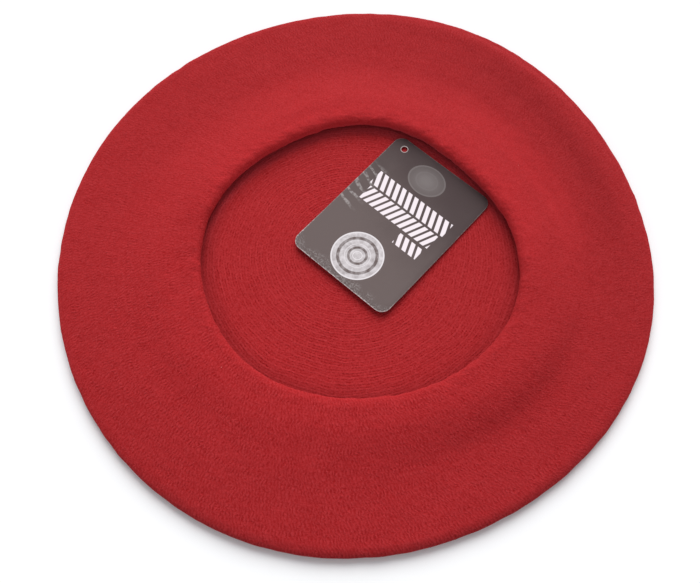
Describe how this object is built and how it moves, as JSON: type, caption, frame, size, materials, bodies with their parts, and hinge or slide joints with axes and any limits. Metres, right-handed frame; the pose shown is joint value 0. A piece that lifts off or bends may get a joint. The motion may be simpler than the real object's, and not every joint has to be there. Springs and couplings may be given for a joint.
{
  "type": "beret",
  "caption": "Round flat felted wool beret lying on its crown, head opening up with a soft rolled lip and turned hem, and a loose punched card tag resting inside that lifts out.",
  "frame": {"origin": "centre of the crown's flat outer face, on the surface the upside-down beret rests on", "axes": "+Z out of the head opening, +X to the right and +Y away from a viewer who looks in over the near edge; the hang tag's punched corner points to +Y"},
  "size_m": [0.2789, 0.2813, 0.0115],
  "materials": {
    "felt": "felted knitted wool with a short nap, matt",
    "thread": "matt sewing thread in the felt's colour",
    "tag_card": "printed card with a soft sheen and worn pale edges"
  },
  "bodies": {
    "beret_body": {"crown": "felt", "underside": "felt", "hem": "felt", "hem_thread": "thread", "stalk": "felt"},
    "tag_body": {"hang_tag": "tag_card"}
  },
  "joints": [
    {"name": "tag_lift", "type": "slide", "parent": "beret_body", "child": "tag_body", "axis": [-0.3, -0.55, 0.7794], "range_m": [0, 0.08]}
  ]
}
